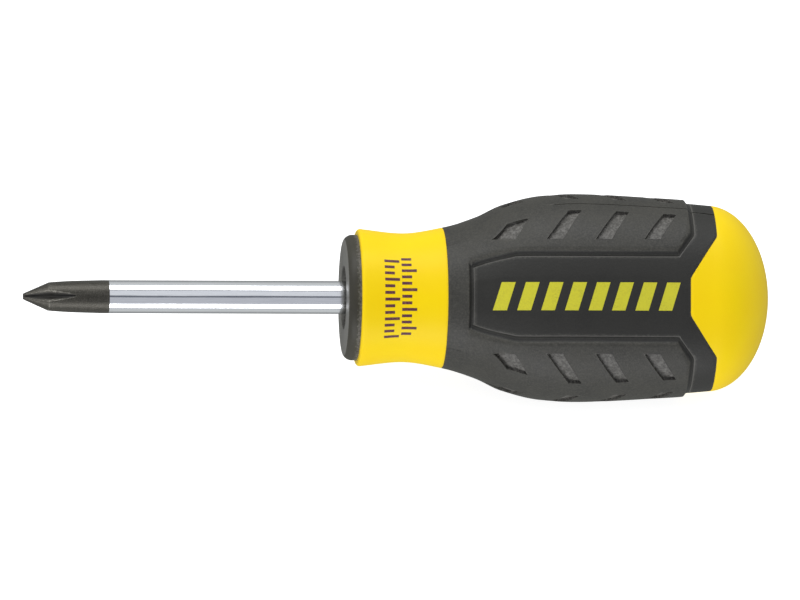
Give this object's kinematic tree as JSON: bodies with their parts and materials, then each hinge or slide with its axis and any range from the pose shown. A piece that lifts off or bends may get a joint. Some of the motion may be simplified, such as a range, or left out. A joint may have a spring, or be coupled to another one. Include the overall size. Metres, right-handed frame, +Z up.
{
  "type": "stubby cross-point screwdriver",
  "caption": "Short cross-point screwdriver: chrome shank with a dark fluted tip, and a fat lobed handle with a soft slotted grip between a collar and a domed cap.",
  "frame": {"origin": "middle of the blunt end of the tip, on the blade's axis", "axes": "+X along the blade from the tip to the handle's dome, +Z up with the driver lying on one of the handle's three flats, and -Y towards the side that shows another flat"},
  "size_m": [0.1047, 0.029, 0.0282],
  "materials": {
    "blade_chrome": "bright plated",
    "tip_oxide": "black oxide on the point",
    "core_black": "satin moulded",
    "shell_yellow": "semi-gloss moulded",
    "grip_rubber": "soft satin moulded",
    "size_mark": "printed",
    "panel_mark": "printed"
  },
  "bodies": {
    "root": {"blade": "blade_chrome", "core": "core_black", "shell": "shell_yellow", "grip": "grip_rubber"}
  },
  "joints": []
}
